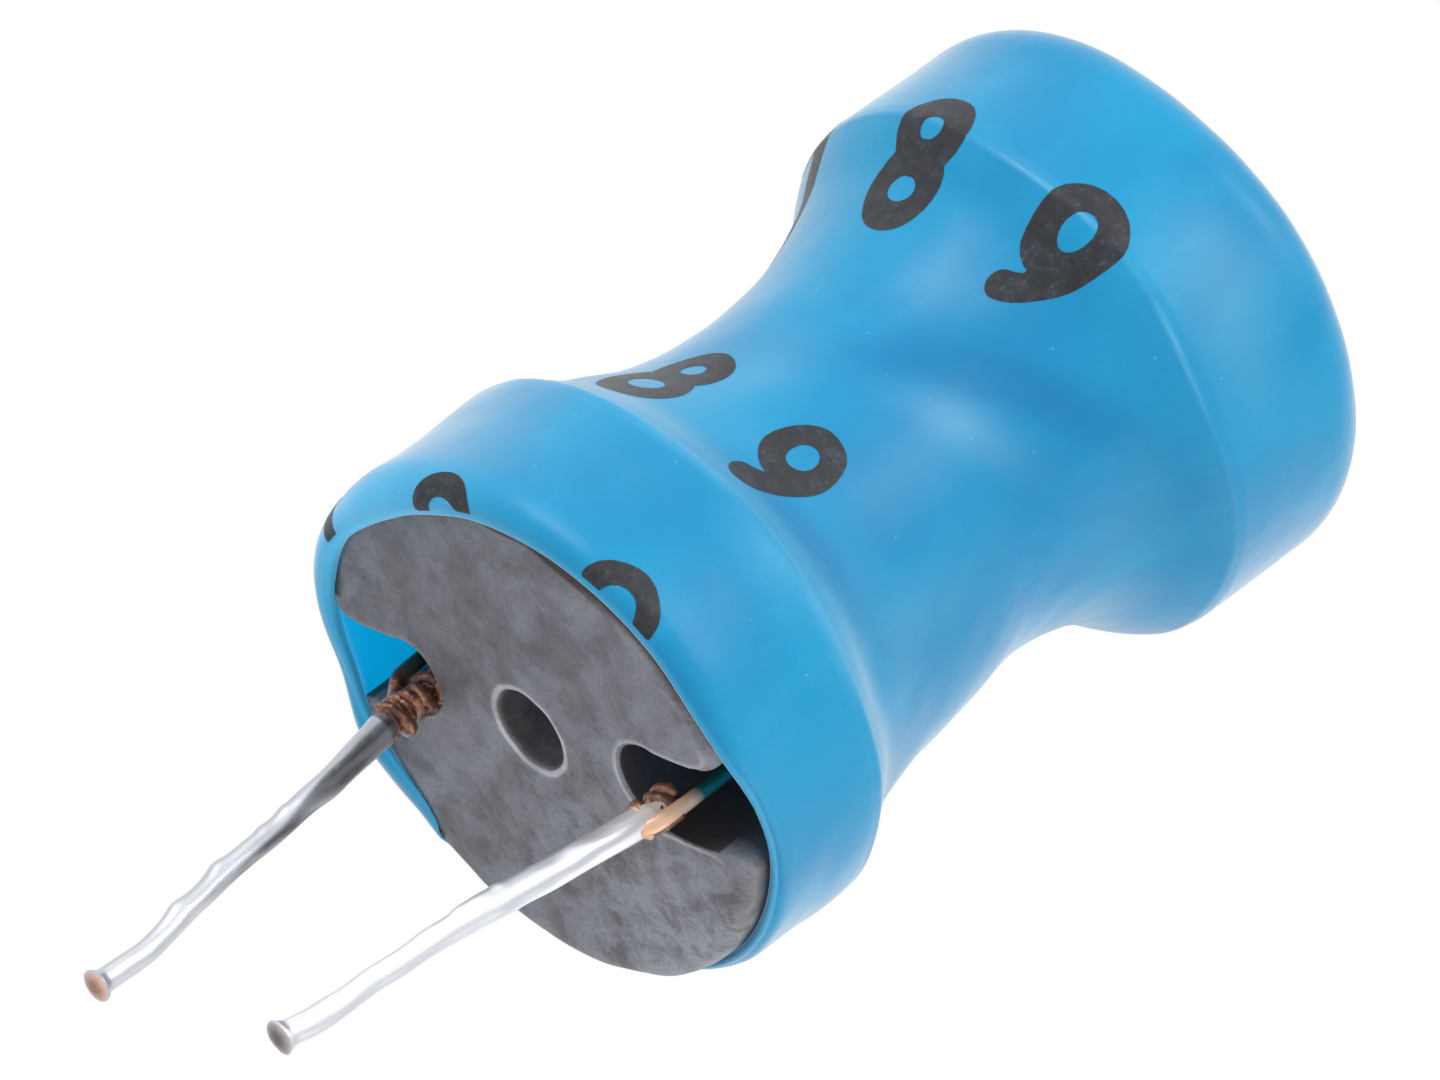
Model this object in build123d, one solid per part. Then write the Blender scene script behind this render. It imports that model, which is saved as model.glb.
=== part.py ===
from build123d import *
import math
import os

# Radial ferrite inductor: a drum core, one magnet wire wound round its waist, the two wire
# ends folded, twisted and dip-soldered into leads, and a shrunk sleeve over the whole drum.
# Millimetres. Origin on the axis in the core's base face. +Z up the axis, leads towards -Z,
# +X along the line of the two lead notches, towards lead B.

# Drum core
core_height = 13.65
flange_diameter = 8.95
base_flange_thickness = 2.75
top_flange_thickness = 2.95
column_diameter = 4.4
base_edge_radius = 0.4
top_edge_radius = 0.72
inner_edge_radius = 0.12
centre_hole_diameter = 1.36
centre_hole_depth = 4.0
centre_hole_chamfer = 0.08
notch_width = 1.5
notch_floor_radius = 1.98
notch_lip_radius = 0.42

# Winding
wire_diameter = 0.26
turn_gap = 0.01
layers = 4
wrap_turns = 3
wrap_bite = 0.03

# Leads
lead_diameter = 0.45
lead_shoulder_height = 0.16
lead_shoulder_diameter = 0.32
lead_top_drop = 0.84
lead_reach = 7.9
lead_tip_flare = 0.04
lead_tip_length = 0.22
lead_a_base = (-2.4, 0.04)
lead_a_tip = (-1.79, 0.30)
lead_b_base = (2.95, 0.10)
lead_b_tip = (2.50, -0.31)

# Sleeve
sleeve_wall = 0.27
sleeve_lip_diameter = 6.8
sleeve_rim_low = 0.12
sleeve_rim_high = 0.5
sleeve_rim_azimuth = 75.0
shoulder_angle = 40.0
# How far the sleeve has sunk towards the winding (1 = on it), at shares of the window's height
waist_sink = [(0.10, 0.39), (0.25, 0.735), (0.42, 0.885), (0.60, 1.0), (0.75, 0.885), (0.90, 0.46)]

# Clearances
wound_clearance = 0.01
sleeve_clearance = 0.01

# Places that follow from the sizes above
flange_radius = flange_diameter / 2
column_radius = column_diameter / 2
wire_radius = wire_diameter / 2
window_bottom = base_flange_thickness
window_top = core_height - top_flange_thickness
window_height = window_top - window_bottom
turn_pitch = wire_diameter + turn_gap
layer_step = wire_diameter * math.sqrt(3) / 2
coil_inner_radius = column_radius + wound_clearance
coil_outer_radius = coil_inner_radius + wire_diameter + (layers - 1) * layer_step
turns_per_layer = int((window_height - 2 * wound_clearance) / turn_pitch)
sleeve_bore_radius = flange_radius + sleeve_clearance
sleeve_waist_radius = coil_outer_radius + 2 * sleeve_clearance


def rounded_disc(radius, bottom, top, bottom_radius, top_radius):
    disc = Pos(0, 0, bottom) * Cylinder(radius, top - bottom, align=(Align.CENTER, Align.CENTER, Align.MIN))
    lower, upper = disc.edges().filter_by(GeomType.CIRCLE).sort_by(Axis.Z)
    disc = fillet(lower, bottom_radius)
    upper = disc.edges().filter_by(GeomType.CIRCLE).sort_by(Axis.Z)[-1]
    return fillet(upper, top_radius)


def notch_cutter():
    """What the two open-ended notches take out of the base flange."""
    slots = Sketch()
    for side in (-1, 1):
        floor_centre = notch_floor_radius + notch_width / 2
        slots += Pos(side * floor_centre, 0) * Circle(notch_width / 2)
        slots += Pos(side * (floor_centre + flange_radius / 2), 0) * Rectangle(flange_radius, notch_width)
    plate = Circle(flange_radius) - slots
    lips = [v for v in plate.vertices() if math.hypot(v.X, v.Y) > flange_radius - notch_lip_radius / 2]
    plate = fillet(lips, notch_lip_radius)
    cut = Circle(flange_radius + notch_width) - plate
    return Pos(0, 0, -notch_width) * extrude(cut, base_flange_thickness + notch_width)


def make_drum_core():
    base = rounded_disc(flange_radius, 0, window_bottom, base_edge_radius, inner_edge_radius)
    top = rounded_disc(flange_radius, window_top, core_height, inner_edge_radius, top_edge_radius)
    column = Pos(0, 0, base_flange_thickness / 2) * Cylinder(
        column_radius,
        core_height - (base_flange_thickness + top_flange_thickness) / 2,
        align=(Align.CENTER, Align.CENTER, Align.MIN),
    )
    core = base - notch_cutter()
    core = core + column + top
    hole = Cylinder(centre_hole_diameter / 2, centre_hole_depth, align=(Align.CENTER, Align.CENTER, Align.MIN))
    countersink = Cone(
        centre_hole_diameter / 2 + centre_hole_chamfer,
        centre_hole_diameter / 2,
        centre_hole_chamfer,
        align=(Align.CENTER, Align.CENTER, Align.MIN),
    )
    return core - hole - countersink


def make_coil():
    """The wound turns: the outer layer shows as rings, the layers below are one ring-shaped body."""
    crest_radius = coil_outer_radius - wire_radius
    first_turn = (window_bottom + window_top - (turns_per_layer - 1) * turn_pitch) / 2
    height = turns_per_layer * turn_pitch - turn_gap
    body = Pos(0, 0, first_turn - wire_radius) * Cylinder(
        crest_radius, height, align=(Align.CENTER, Align.CENTER, Align.MIN)
    )
    rings = Sketch()
    for turn in range(turns_per_layer):
        rings += Pos(crest_radius, first_turn + turn * turn_pitch) * Circle(wire_radius)
    turns = revolve(Plane.XZ * rings, Axis.Z)
    bore = Cylinder(coil_inner_radius, 2 * core_height)
    return body + turns - bore


def make_lead_out(base):
    """One end of the wire: down its notch, then wrapped round itself above the soldered lead."""
    x, y = base
    length = lead_top_drop + window_bottom + turn_pitch
    strand = Pos(x, y, -lead_top_drop) * Cylinder(
        wire_radius, length, align=(Align.CENTER, Align.CENTER, Align.MIN)
    )
    wrap_radius = wire_diameter - wrap_bite
    wrap = Helix(pitch=turn_pitch, height=wrap_turns * turn_pitch, radius=wrap_radius)
    wrap_body = sweep(Plane(wrap @ 0, z_dir=wrap % 0) * Circle(wire_radius), path=wrap, is_frenet=True)
    lowest_wrap = wire_diameter - lead_top_drop
    return strand + Pos(x, y, lowest_wrap - wire_radius / 2) * wrap_body


def make_winding():
    return make_coil() + make_lead_out(lead_a_base) + make_lead_out(lead_b_base)


def make_lead(base, tip):
    """A soldered lead, straight from under its wrapped wire to its cut tip."""
    start = Vector(base[0], base[1], -lead_top_drop)
    end = Vector(tip[0], tip[1], -lead_reach)
    run = end - start
    along = Plane(origin=start, z_dir=run)
    shoulder_slope = (lead_diameter - lead_shoulder_diameter) / 2 / lead_shoulder_height
    above_start = lead_diameter / 4
    flare_start = run.length - lead_tip_length
    profile = Polyline(
        (0, -above_start),
        (lead_shoulder_diameter / 2 - above_start * shoulder_slope, -above_start),
        (lead_diameter / 2, lead_shoulder_height),
        (lead_diameter / 2, flare_start),
        (lead_diameter / 2 + lead_tip_flare, run.length),
        (0, run.length),
        close=True,
    )
    bar = revolve(Plane.XZ * make_face(profile), Axis.Z)
    above = Pos(0, 0, -lead_top_drop) * Cylinder(
        flange_radius, base_flange_thickness, align=(Align.CENTER, Align.CENTER, Align.MIN)
    )
    return along * bar - above


def sleeve_face(offset):
    """Half-section outline of the sleeve's wall line, moved outwards by offset."""
    side = sleeve_bore_radius + offset
    depth = sleeve_bore_radius - sleeve_waist_radius
    turn = math.radians(shoulder_angle)
    line = [(sleeve_bore_radius, window_bottom)]
    for height_share, sink_share in waist_sink:
        line.append((sleeve_bore_radius - depth * sink_share, window_bottom + window_height * height_share))
    line.append((sleeve_bore_radius, window_top))
    leaving = (-math.sin(turn), math.cos(turn))
    arriving = (math.sin(turn), math.cos(turn))
    moved = []
    for i, (radius, height) in enumerate(line):
        if i == 0:
            tangent = leaving
        elif i == len(line) - 1:
            tangent = arriving
        else:
            tangent = (line[i + 1][0] - line[i - 1][0], line[i + 1][1] - line[i - 1][1])
        size = math.hypot(*tangent)
        moved.append((radius + offset * tangent[1] / size, height - offset * tangent[0] / size))
    top = core_height + sleeve_clearance + offset
    corner_radius = top_edge_radius + offset
    edges = [
        Line((0, -flange_radius), (side, -flange_radius)),
        Line((side, -flange_radius), (side, window_bottom)),
        Spline(*moved, tangents=[leaving, arriving]),
        Line((side, window_top), (side, top - corner_radius)),
        RadiusArc((side, top - corner_radius), (side - corner_radius, top), -corner_radius),
        Line((side - corner_radius, top), (0, top)),
        Line((0, top), (0, -flange_radius)),
    ]
    if offset > 0:
        edges.insert(2, ThreePointArc(*shoulder_arc(window_bottom, offset, -1)))
        edges.insert(4, ThreePointArc(*shoulder_arc(window_top, offset, 1)))
    return make_face(edges)


def shoulder_arc(height, offset, way):
    """Three points of the bend over a flange's inner edge; way is the side that the flange is on."""
    turn = math.radians(shoulder_angle)
    points = []
    for share in (0, 0.5, 1):
        angle = turn * share
        points.append(
            (sleeve_bore_radius + offset * math.cos(angle), height - way * offset * math.sin(angle))
        )
    return points if way < 0 else points[::-1]


def make_sleeve():
    outside = revolve(Plane.XZ * sleeve_face(sleeve_wall), Axis.Z)
    inside = revolve(Plane.XZ * sleeve_face(0), Axis.Z)
    lip_hole = Pos(0, 0, core_height) * Cylinder(
        sleeve_lip_diameter / 2, 2 * sleeve_wall, align=(Align.CENTER, Align.CENTER, Align.MIN)
    )
    rise = sleeve_rim_low + sleeve_rim_high
    reach = 2 * (sleeve_bore_radius + sleeve_wall)
    tilt = math.degrees(math.atan2(rise, reach))
    rim_middle = (sleeve_rim_high - sleeve_rim_low) / 2
    below = Rot(0, 0, sleeve_rim_azimuth) * Pos(0, 0, rim_middle) * Rot(0, -tilt, 0)
    cutter = below * Box(3 * reach, 3 * reach, reach, align=(Align.CENTER, Align.CENTER, Align.MAX))
    return outside - inside - lip_hole - cutter


PARTS = {
    "drum_core": make_drum_core(),
    "winding": make_winding(),
    "lead_a": make_lead(lead_a_base, lead_a_tip),
    "lead_b": make_lead(lead_b_base, lead_b_tip),
    "sleeve": make_sleeve(),
}

os.makedirs("parts", exist_ok=True)
for name, solid in PARTS.items():
    export_step(solid, f"parts/{name}.step")
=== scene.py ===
import bmesh
import bpy
import math
import numpy as np
from mathutils import Matrix, Vector


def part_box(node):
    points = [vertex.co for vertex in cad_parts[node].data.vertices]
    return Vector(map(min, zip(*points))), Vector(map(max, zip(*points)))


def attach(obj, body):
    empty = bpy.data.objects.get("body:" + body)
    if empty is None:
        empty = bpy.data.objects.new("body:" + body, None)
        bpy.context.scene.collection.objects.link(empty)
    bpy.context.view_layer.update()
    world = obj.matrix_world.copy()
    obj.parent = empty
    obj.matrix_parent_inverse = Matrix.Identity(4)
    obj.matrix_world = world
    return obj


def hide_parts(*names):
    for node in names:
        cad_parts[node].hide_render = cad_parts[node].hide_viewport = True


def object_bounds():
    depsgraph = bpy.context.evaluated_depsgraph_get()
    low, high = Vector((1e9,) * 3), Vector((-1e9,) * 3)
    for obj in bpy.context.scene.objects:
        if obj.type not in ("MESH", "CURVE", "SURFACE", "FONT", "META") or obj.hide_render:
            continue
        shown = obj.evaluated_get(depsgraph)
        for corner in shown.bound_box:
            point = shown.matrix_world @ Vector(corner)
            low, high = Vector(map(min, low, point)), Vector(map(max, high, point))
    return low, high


# Looks of the radial ferrite inductor. Lengths are millimetres until a mesh is made; angles are
# degrees of azimuth about the drum's axis, with 0 on the lead B notch.
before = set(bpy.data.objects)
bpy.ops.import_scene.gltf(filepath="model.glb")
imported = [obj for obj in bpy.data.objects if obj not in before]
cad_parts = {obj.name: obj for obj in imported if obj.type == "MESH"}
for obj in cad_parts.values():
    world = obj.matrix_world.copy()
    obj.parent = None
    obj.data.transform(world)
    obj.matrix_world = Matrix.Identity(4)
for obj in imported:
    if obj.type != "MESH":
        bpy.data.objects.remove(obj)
cad_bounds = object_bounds()
MM = 0.001
TAU = 2 * math.pi
core_high_corner = np.array(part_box("drum_core")[1]) / MM

# Drum core
flange_radius = core_high_corner[0]
core_height = core_high_corner[2]
base_thickness = 2.75
top_thickness = 2.95
column_radius = 2.2
base_corner = 0.4
top_corner = 0.72
notch_width = 1.5
notch_floor = 1.98
lip_radius = 0.42
hole_radius = 0.68
hole_depth = 4.0
hole_chamfer = 0.09
# The bore opens into the column here; the spun half-section goes on from it
bore_seam = 1.37
bore_seam_radius = 1.5
round_sides = 96
window_top = core_height - top_thickness

# Wire and leads
wire_radius = 0.13
lead_drop = 0.84
lead_reach = 7.9
lead_a_base, lead_a_tip = (-2.4, 0.04), (-1.79, 0.30)
lead_b_base, lead_b_tip = (2.95, 0.10), (2.50, -0.31)
wound_gap = 0.01
coil_inner = column_radius + wound_gap
coil_outer = 3.145

# The sleeve's side line: height and outside radius, with both bends over the flanges
side_line = [
    (0.0, 4.75), (0.4, 4.765), (0.95, 4.74), (1.6, 4.735), (2.2, 4.765), (2.58, 4.76), (2.74, 4.735),
    (2.86, 4.67), (3.0, 4.575), (3.34, 4.33), (3.97, 4.045), (4.74, 3.79), (5.66, 3.635), (6.60, 3.525),
    (7.52, 3.455), (8.46, 3.545), (9.38, 3.83), (10.0, 4.17), (10.38, 4.48), (10.55, 4.61), (10.68, 4.69),
    (10.82, 4.735), (11.1, 4.745), (12.0, 4.73), (13.3, 4.72),
]
# How far the shrunk tube's middle stands off the axis, along azimuth sway_azimuth
sway_azimuth = 49.5
sway = [
    (0.0, 0.0), (2.26, 0.01), (3.34, -0.03), (4.74, 0.04), (5.66, 0.08), (6.60, 0.05), (7.52, -0.04),
    (8.46, -0.08), (9.38, -0.09), (10.4, -0.02), (11.5, 0.0), (13.3, 0.04),
]
# Height of the sleeve's cut edge along its own path; under base_corner it laps round the core's corner
rim_line = [
    (0, 0.46), (8, 0.56), (20, 0.60), (32, 0.60), (44, 0.60), (56, 0.70), (75, 0.74), (98, 0.54),
    (112, 0.48), (124, 0.42), (131, 0.32), (134.5, 0.0), (136.5, -0.20), (140, -0.31), (152, -0.36),
    (163, -0.20), (172, -0.04), (184, 0.0), (195, 0.03), (205, 0.02), (216, -0.03), (232, -0.14),
    (244, -0.19), (256, -0.17), (268, -0.08), (280, -0.03), (292, 0.03), (304, 0.08), (320, 0.12),
    (337, 0.17), (347, 0.25), (354, 0.36),
]
sleeve_wall = 0.25
sleeve_gap = 0.006
inner_corner = base_corner + sleeve_gap
lip_opening = 3.4
# How much thinner the wall is at its cut edge, and over what length it gets its full thickness
rim_thinning = 0.11
thinned_length = 0.08
# Where the lap round the core's corner is drawn thin: azimuth, and how far its wall nears drawn_wall
drawn_thin = [
    (92, 0.0), (112, 0.3), (124, 0.85), (132, 1.0), (140, 1.0), (145, 0.86), (149, 0.70), (156, 0.36),
    (164, 0.0), (220, 0.0),
]
drawn_wall = 0.06


def through(table, at, period=None):
    """A smooth curve through the (place, value) pairs of a table, read at every place in at."""
    places = np.array([p for p, _ in table], float)
    values = np.array([v for _, v in table], float)
    if period:
        places = np.concatenate([places[-3:] - period, places, places[:3] + period])
        values = np.concatenate([values[-3:], values, values[:3]])
        at = np.mod(at, period)
    slopes = np.gradient(values, places)
    steps = np.diff(values) / np.diff(places)
    flat = np.concatenate([[False], steps[:-1] * steps[1:] <= 0, [False]])
    slopes[flat] = 0
    at = np.clip(np.asarray(at, float), places[0], places[-1])
    i = np.clip(np.searchsorted(places, at, side="right") - 1, 0, len(places) - 2)
    gap = places[i + 1] - places[i]
    t = (at - places[i]) / gap
    return (
        values[i] * (1 + 2 * t) * (1 - t) ** 2
        + slopes[i] * gap * t * (1 - t) ** 2
        + values[i + 1] * t * t * (3 - 2 * t)
        + slopes[i + 1] * gap * t * t * (t - 1)
    )


def ripple(seed, angle, height, most_round, most_up, count=14):
    """Smooth uneven relief about 1 high: whole waves round the axis, waves per mm up it."""
    rng = np.random.default_rng(seed)
    total = np.zeros(np.broadcast(angle, height).shape)
    for _ in range(count):
        around = rng.integers(1, most_round + 1)
        up = rng.uniform(-most_up, most_up)
        total = total + np.sin(around * np.radians(angle) + TAU * up * height + rng.uniform(0, TAU))
    return total / math.sqrt(count)


def bell(offset, width):
    return np.exp(-((offset / width) ** 2))


def apart(angle, other):
    """Signed difference of two azimuths, from -180 to 180."""
    return np.mod(angle - other + 180, 360) - 180


# ---------------------------------------------------------------- shader trees


class Wire:
    """One output socket of a shader tree. Sums, products and differences of wires add Math nodes."""

    def __init__(self, finish, socket):
        self.finish = finish
        self.socket = socket

    def math(self, operation, *values):
        names = {i: value for i, value in enumerate(values)}
        return self.finish.add("ShaderNodeMath", {"operation": operation}, names)

    def __add__(self, other):
        return self.math("ADD", self, other)

    def __sub__(self, other):
        return self.math("SUBTRACT", self, other)

    def __rsub__(self, other):
        return self.math("SUBTRACT", other, self)

    def __mul__(self, other):
        return self.math("MULTIPLY", self, other)

    __radd__ = __add__

    def most(self, other):
        return self.math("MAXIMUM", self, other)

    def step(self, low, high):
        """0 below low, 1 above high and a smooth rise between."""
        settings = {"interpolation_type": "SMOOTHSTEP"}
        values = {"Value": self, "From Min": low, "From Max": high}
        return self.finish.add("ShaderNodeMapRange", settings, values)


class Finish:
    """One shader tree, of a material or of the world."""

    def __init__(self, owner):
        owner.use_nodes = True
        self.owner = owner
        self.tree = owner.node_tree
        self.tree.nodes.clear()

    def add(self, kind, settings=None, values=None, output=0):
        """A node of a kind: settings first, then a number, colour or wire for each input named."""
        node = self.tree.nodes.new(kind)
        for name, value in (settings or {}).items():
            setattr(node, name, value)
        for name, value in (values or {}).items():
            found = [s for i, s in enumerate(node.inputs) if name in (i, s.identifier, s.name)]
            if isinstance(value, Wire):
                self.tree.links.new(value.socket, found[0])
            else:
                found[0].default_value = value
        return Wire(self, node.outputs[output]) if len(node.outputs) else None

    def place(self, scale=(1, 1, 1)):
        """Object position in millimetres, stretched by scale."""
        where = self.add("ShaderNodeTexCoord", output=3)
        size = tuple(s / MM for s in scale)
        return self.add("ShaderNodeVectorMath", {"operation": "MULTIPLY"}, {0: where, 1: size})

    def noise(self, scale, detail=3.0, roughness=0.55, stretch=(1, 1, 1), distortion=0.0):
        values = {
            "Vector": self.place(stretch), "Scale": scale, "Detail": detail,
            "Roughness": roughness, "Distortion": distortion,
        }
        return self.add("ShaderNodeTexNoise", {"noise_dimensions": "3D"}, values)

    def cells(self, scale):
        """Distance from the nearest of scattered spots."""
        values = {"Vector": self.place(), "Scale": scale}
        return self.add("ShaderNodeTexVoronoi", {"feature": "F1"}, values)

    def painted(self, name):
        """A number kept on the mesh's points."""
        return self.add("ShaderNodeAttribute", {"attribute_name": name}, output=2)

    def mix(self, amount, under, over):
        settings = {"data_type": "RGBA", "clamp_factor": True}
        values = {"Factor_Float": amount, "A_Color": under, "B_Color": over}
        return self.add("ShaderNodeMix", settings, values, output=2)

    def layered(self, base, *layers):
        """Colours laid over a base one after another; a layer has its share and its red, green and blue."""
        for amount, rgb in layers:
            base = self.mix(amount, base, colour(*rgb))
        return base

    def bump(self, height, distance, strength):
        values = {"Height": height, "Distance": distance * MM, "Strength": strength}
        return self.add("ShaderNodeBump", None, values)

    def surface(self, **values):
        values = {name.replace("_", " "): value for name, value in values.items()}
        return self.end(self.add("ShaderNodeBsdfPrincipled", None, values))

    def end(self, shader):
        self.add("ShaderNodeOutputMaterial", {"target": "ALL"}, {"Surface": shader})
        return self.owner


def colour(red, green, blue):
    """A colour given in 0 to 255, as the linear values that a shader takes."""
    linear = []
    for value in (red, green, blue):
        value /= 255
        linear.append(value / 12.92 if value <= 0.04045 else ((value + 0.055) / 1.055) ** 2.4)
    return (*linear, 1.0)


def make_sleeve_finish():
    f = Finish(bpy.data.materials.new("shrunk_tube_blue"))
    clouds = f.noise(0.30, 3.0, 0.5, (1, 1, 0.7), 0.6)
    streaks = f.noise(1.1, 4.0, 0.6, (1.0, 1.0, 0.35))
    grain = f.noise(9.0, 3.0, 0.6)
    base = f.layered(
        colour(2, 140, 191),
        (clouds.step(0.36, 0.66), (8, 152, 200)),
        (streaks.step(0.45, 0.8) * 0.22, (50, 168, 213)),
        (grain.step(0.5, 0.8) * 0.18, (0, 126, 182)),
        ((1 - f.cells(1.7).step(0.02, 0.05)) * 0.5, (120, 200, 232)),
        # painted shade: dark bands where shade and dark reflections fall
        (f.painted("dense") * 0.7, (0, 116, 170)),
        # painted haze highlights
        (f.painted("milky") * 0.42, (166, 208, 232)),
        # painted highlight along the two bends
        (f.painted("strain") * 0.6, (120, 196, 234)),
        # painted highlight along the rim's and lip's cut edges
        (f.painted("cut") * 0.5, (70, 176, 222)),
        (f.painted("inside") * 0.9, (6, 152, 206)),
    )
    # painted glow: emission standing in for light that comes through the thin wall
    painted_glow = f.layered(
        colour(0, 0, 0), (f.painted("inside"), (0, 134, 184)), (f.painted("lit"), (46, 112, 134))
    )
    rough = 0.33 + streaks * 0.10 + grain * 0.05
    relief = grain * 0.25 + f.noise(2.6, 3.0, 0.5, (1, 1, 0.5)) * 1.0
    return f.surface(
        Base_Color=base, Roughness=rough, IOR=1.38, Normal=f.bump(relief, 0.014, 0.5),
        Sheen_Weight=0.85, Sheen_Roughness=0.34, Emission_Color=painted_glow, Emission_Strength=1.1,
    )


def make_ink_finish():
    f = Finish(bpy.data.materials.new("print_ink_grey"))
    wear = f.noise(4.0, 5.0, 0.65)
    fine = f.noise(16.0, 3.0, 0.65)
    base = f.layered(
        colour(40, 42, 46),
        (wear.step(0.4, 0.72) * 0.6, (66, 68, 74)),
        ((wear * 0.5 + fine * 0.5).step(0.57, 0.66) * 0.5, (52, 96, 124)),
    )
    return f.surface(
        Base_Color=base, Roughness=0.42 + fine * 0.1, IOR=1.38, Sheen_Weight=0.15, Sheen_Roughness=0.42,
    )


def make_ferrite_finish():
    f = Finish(bpy.data.materials.new("sintered_ferrite"))
    cloud = f.noise(0.8, 5.0, 0.62, distortion=0.6)
    mottle = f.noise(1.9, 5.0, 0.66, distortion=0.4)
    grain = f.noise(14.0, 4.0, 0.7)
    pits = f.cells(6.0)
    specks = f.cells(4.3)
    patchy = 1 - f.painted("calm")
    base = f.layered(
        colour(97, 98, 104),
        (cloud.step(0.38, 0.66) * patchy, (136, 137, 144)),
        (f.painted("dusty") * mottle.step(0.34, 0.62) * 0.75, (166, 168, 175)),
        (mottle.step(0.56, 0.72) * patchy * 0.25, (146, 148, 155)),
        (grain.step(0.45, 0.7) * 0.4, (80, 81, 88)),
        ((1 - pits.step(0.02, 0.10)) * grain.step(0.46, 0.56) * 0.75, (58, 58, 64)),
        ((1 - specks.step(0.02, 0.09)) * mottle.step(0.48, 0.58) * 0.8, (192, 194, 199)),
        # lighter edges: wear, and painted highlight where rounded edges catch light
        (f.painted("worn") * (0.1 + mottle * 1.5), (204, 206, 211)),
        (f.painted("stain") * (0.3 + mottle * 0.6), (104, 74, 66)),
        # painted shade in the notches, the bore and the gap beside the sleeve
        (f.painted("deep"), (48, 36, 30)),
    )
    relief = grain * 0.7 + mottle * 0.9 + pits.step(0.0, 0.12) * 0.6
    return f.surface(
        Base_Color=base, Roughness=0.44 + grain * 0.22, IOR=1.5, Normal=f.bump(relief, 0.024, 0.7),
    )


def make_copper_finish():
    f = Finish(bpy.data.materials.new("enamelled_copper"))
    burn = f.noise(4.2, 4.0, 0.62, distortion=0.5)
    fine = f.noise(12.0, 3.0, 0.6)
    base = f.layered(
        colour(82, 42, 26),
        (burn.step(0.46, 0.70), (190, 126, 90)),
        (fine.step(0.5, 0.75) * 0.6, (60, 30, 20)),
        (f.painted("bare"), (240, 192, 156)),
        (f.painted("shade"), (22, 84, 84)),
    )
    metal = 0.55 - f.painted("bare") * 0.25 - f.painted("shade") * 0.4
    return f.surface(
        Base_Color=base, Metallic=metal, Roughness=0.34 + fine * 0.16, IOR=1.5,
        Coat_Weight=0.7, Coat_Roughness=0.14, Normal=f.bump(burn + fine * 0.3, 0.02, 0.6),
    )


def make_solder_finish():
    f = Finish(bpy.data.materials.new("dipped_solder"))
    cloud = f.noise(1.3, 3.0, 0.55, (1, 1, 0.35))
    fine = f.noise(5.0, 2.0, 0.5, (1, 1, 0.5))
    base = f.layered(
        colour(252, 252, 254),
        (cloud.step(0.4, 0.7), (238, 240, 244)),
        # painted reflection and shade streaks
        (f.painted("groove"), (182, 184, 194)),
        # painted shade on lead A's dark side and start, with a duller finish
        (f.painted("dull") * (0.6 + fine * 0.6), (100, 101, 102)),
        # bare copper at the cut ends, and a painted highlight at lead B's top
        (f.painted("bare"), (255, 224, 208)),
        (f.painted("grey"), (206, 196, 194)),
    )
    rough = 0.36 + fine * 0.04 + f.painted("dull") * 0.10
    rough = rough + f.painted("bare") * 0.2 + f.painted("groove") * 0.1
    metal = 1 - f.painted("bare") * 0.8 - f.painted("grey") * 0.8
    return f.surface(Base_Color=base, Metallic=metal, Roughness=rough, Normal=f.bump(fine, 0.004, 0.12))


def make_floor_finish():
    """Pale and one-sided, so that the drum's base can be seen and lit from underneath."""
    f = Finish(bpy.data.materials.new("pale_floor"))
    values = {"Base Color": colour(236, 237, 239), "Roughness": 0.8}
    paint = f.add("ShaderNodeBsdfPrincipled", None, values)
    clear = f.add("ShaderNodeBsdfTransparent")
    behind = f.add("ShaderNodeNewGeometry", output=6)
    shadow = f.add("ShaderNodeLightPath", output=1)
    return f.end(f.add("ShaderNodeMixShader", None, {0: behind.most(shadow), 1: paint, 2: clear}))


# ---------------------------------------------------------------- meshes


class Shape:
    """Points, faces and painted numbers of a mesh as it is built."""

    def __init__(self):
        self.points = []
        self.faces = []
        self.paint = {}

    def add_points(self, points, **paint):
        first = len(self.points)
        points = np.asarray(points, float).reshape(-1, 3)
        self.points.extend(points.tolist())
        for name in set(paint) | set(self.paint):
            column = self.paint.setdefault(name, [0.0] * first)
            value = np.asarray(paint.get(name, 0.0), float).reshape(-1)
            column.extend(np.broadcast_to(value, len(points)).tolist())
        return first

    def add_face(self, corners, flip=False):
        self.faces.append(list(corners)[::-1] if flip else list(corners))

    def grid(self, points, wrap_rows=False, flip=False, **paint):
        """Quads over points[row][column], closed round its columns; returns the index of the first point."""
        rows, columns = points.shape[:2]
        paint = {name: np.broadcast_to(value, (rows, columns)) for name, value in paint.items()}
        first = self.add_points(points, **paint)
        for r in range(rows if wrap_rows else rows - 1):
            for c in range(columns):
                here, above = first + r * columns, first + (r + 1) % rows * columns
                across = (c + 1) % columns
                self.add_face([here + c, here + across, above + across, above + c], flip)
        return first

    def tube(self, path, radius, sides=12, **paint):
        """A round bar along a path of points; radius and paint may change along it."""
        count = len(path)
        radius = np.broadcast_to(np.asarray(radius, float), count)
        across, upward = frames_along(path)
        angle = np.arange(sides)[:, None] * TAU / sides
        turn = np.cos(angle) * across[:, None, :] + np.sin(angle) * upward[:, None, :]
        points = path[:, None, :] + radius[:, None, None] * turn
        paint = {name: np.broadcast_to(value, count)[:, None] for name, value in paint.items()}
        first = self.grid(points, **paint)
        last = first + (count - 1) * sides
        self.add_face(range(first, first + sides), flip=True)
        self.add_face(range(last, last + sides))


def circle_ways(sides):
    """Directions evenly round the axis."""
    angle = np.arange(sides) * TAU / sides
    return np.stack([np.cos(angle), np.sin(angle), np.zeros(sides)], axis=1)


def turned_rings(line, sides):
    """A ring of points round the axis for each radius and height of a line."""
    return np.array([circle_ways(sides) * r + (0, 0, z) for r, z in line])


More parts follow.
